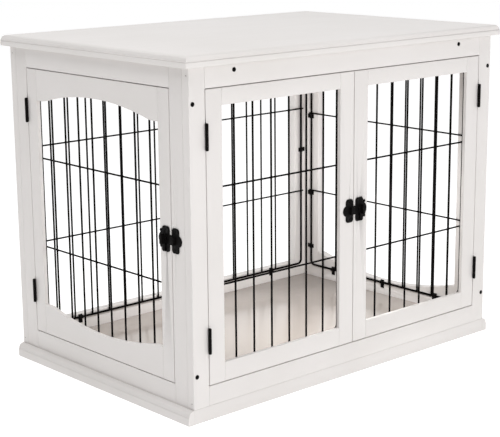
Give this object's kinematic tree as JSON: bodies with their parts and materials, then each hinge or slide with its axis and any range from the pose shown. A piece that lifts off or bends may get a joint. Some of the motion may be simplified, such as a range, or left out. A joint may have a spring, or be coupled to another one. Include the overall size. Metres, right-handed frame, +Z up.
{
  "type": "dog crate end table",
  "caption": "White wooden dog crate end table with black wire panels, two front doors, an arched end door and turn latches.",
  "frame": {"origin": "centre of the footprint, on the floor", "axes": "+Z up, +X along the length to the right of the front doors, +Y to the back"},
  "size_m": [0.8, 0.548, 0.628],
  "materials": {
    "white_paint": "satin",
    "floor_laminate": "gloss",
    "bare_pine": "matte",
    "black_wire": "satin",
    "black_metal": "satin",
    "zinc_screw": "satin"
  },
  "bodies": {
    "front_left_door": {"front_latch_keeper": "black_metal", "front_left_door_bottom_rail": "white_paint", "front_left_door_hinge_leaves": "black_metal", "front_left_door_hinge_stile": "white_paint", "front_left_door_meeting_stile": "white_paint", "front_left_door_screws": "black_metal", "front_left_door_top_rail": "white_paint", "front_left_door_wire_panel": "black_wire"},
    "front_right_door": {"front_latch_plate": "black_metal", "front_right_door_bottom_rail": "white_paint", "front_right_door_hinge_leaves": "black_metal", "front_right_door_hinge_stile": "white_paint", "front_right_door_meeting_stile": "white_paint", "front_right_door_screws": "black_metal", "front_right_door_top_rail": "white_paint", "front_right_door_wire_panel": "black_wire"},
    "end_door": {"end_door_bottom_rail": "white_paint", "end_door_hinge_leaves": "black_metal", "end_door_hinge_stile": "white_paint", "end_door_latch_stile": "white_paint", "end_door_screws": "black_metal", "end_door_top_rail": "white_paint", "end_door_wire_panel": "black_wire", "end_latch_plate": "black_metal"},
    "front_latch_turn": {"front_latch_turn": "black_metal"},
    "end_latch_turn": {"end_latch_turn": "black_metal"},
    "cabinet": {"back_bottom_rail": "white_paint", "back_left_stile": "white_paint", "back_right_stile": "white_paint", "back_top_rail": "white_paint", "back_wire_panel": "black_wire", "base_back_board": "white_paint", "base_front_board": "white_paint", "base_left_board": "white_paint", "base_right_board": "white_paint", "cabinet_small_screws": "black_metal", "cabinet_wire_clips": "black_metal", "end_latch_keeper": "black_metal", "floor_cleats": "bare_pine", "floor_panel": "floor_laminate", "frame_face_screws": "black_metal", "front_bottom_rail": "white_paint", "front_left_stile": "white_paint", "front_right_stile": "white_paint", "front_top_rail": "white_paint", "hinge_frame_leaves": "black_metal", "hinge_pins": "black_metal", "joint_nails": "black_metal", "left_end_back_stile": "white_paint", "left_end_bottom_rail": "white_paint", "left_end_front_stile": "white_paint", "left_end_top_rail": "white_paint", "long_screws": "zinc_screw", "right_end_back_stile": "white_paint", "right_end_bottom_rail": "white_paint", "right_end_front_stile": "white_paint", "right_end_top_rail": "white_paint", "right_end_wire_panel": "black_wire", "top_battens": "bare_pine", "top_board": "white_paint"}
  },
  "joints": [
    {"name": "front_left_door_swing", "type": "hinge", "parent": "cabinet", "child": "front_left_door", "pos_m": [-0.35125, -0.2651, 0.31675], "axis": [0, 0, -1], "range_deg": [0, 170]},
    {"name": "front_right_door_swing", "type": "hinge", "parent": "cabinet", "child": "front_right_door", "pos_m": [0.35125, -0.2651, 0.31675], "axis": [0, 0, 1], "range_deg": [0, 170]},
    {"name": "end_door_swing", "type": "hinge", "parent": "cabinet", "child": "end_door", "pos_m": [-0.3891, 0.21025, 0.31675], "axis": [0, 0, -1], "range_deg": [0, 170]},
    {"name": "front_latch_swivel", "type": "hinge", "parent": "front_right_door", "child": "front_latch_turn", "pos_m": [0.017, -0.266, 0.315], "axis": [0, 1, 0], "range_deg": [0, 90]},
    {"name": "end_latch_swivel", "type": "hinge", "parent": "end_door", "child": "end_latch_turn", "pos_m": [-0.39, -0.19325, 0.315], "axis": [-1, 0, 0], "range_deg": [0, 90]}
  ]
}
